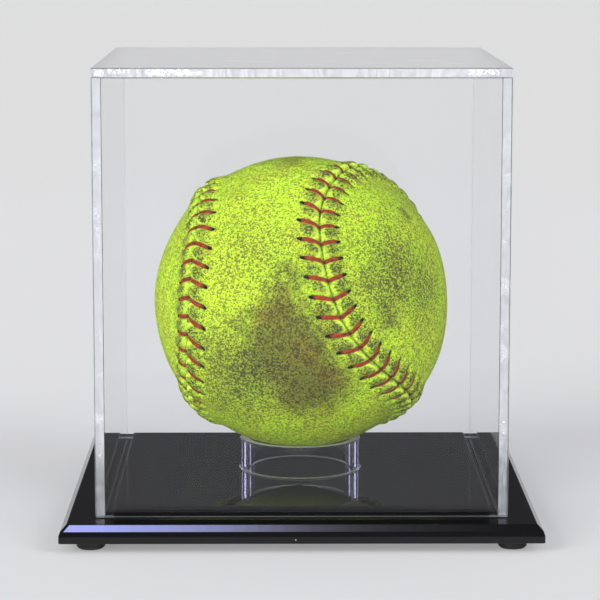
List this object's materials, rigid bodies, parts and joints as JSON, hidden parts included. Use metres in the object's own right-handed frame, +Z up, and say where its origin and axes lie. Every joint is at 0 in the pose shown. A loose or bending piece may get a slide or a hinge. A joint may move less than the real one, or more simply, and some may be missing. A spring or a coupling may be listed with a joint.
{
  "type": "softball display case",
  "caption": "Clear lift-off cover on a bevelled black base, with a clear ring that holds a stitched softball.",
  "frame": {"origin": "on the ground under the middle of the case, the bottom centre of its box", "axes": "+Z up, +X to the right and +Y to the back, seen from the front as in the picture"},
  "size_m": [0.151, 0.151, 0.1495],
  "materials": {
    "black_acrylic": "polished black",
    "clear_acrylic": "clear, polished",
    "cured_cement": "clear, slightly cloudy",
    "black_rubber": "matte black",
    "optic_hide": "optic yellow, scuffed and dirty",
    "foam_core": "foamed core",
    "red_thread": "waxed red thread"
  },
  "bodies": {
    "base": {"base_plate": "black_acrylic", "riser_plate": "black_acrylic", "ring_stand": "clear_acrylic", "ring_cement_bead": "cured_cement", "foot_front_left": "black_rubber", "foot_front_right": "black_rubber", "foot_rear_left": "black_rubber", "foot_rear_right": "black_rubber"},
    "cover": {"cover_front_panel": "clear_acrylic", "cover_rear_panel": "clear_acrylic", "cover_left_panel": "clear_acrylic", "cover_right_panel": "clear_acrylic", "cover_top_panel": "clear_acrylic"},
    "softball": {"ball_core": "foam_core", "ball_front_hide": "optic_hide", "ball_side_hide": "optic_hide", "ball_stitching": "red_thread"}
  },
  "joints": [
    {"name": "cover_lift", "type": "slide", "parent": "base", "child": "cover", "axis": [0, 0, 1], "range_m": [0, 0.13]},
    {"name": "softball_turn", "type": "hinge", "parent": "base", "child": "softball", "pos_m": [0, 0, 0.06811], "axis": [0, 0, 1], "continuous": true}
  ]
}
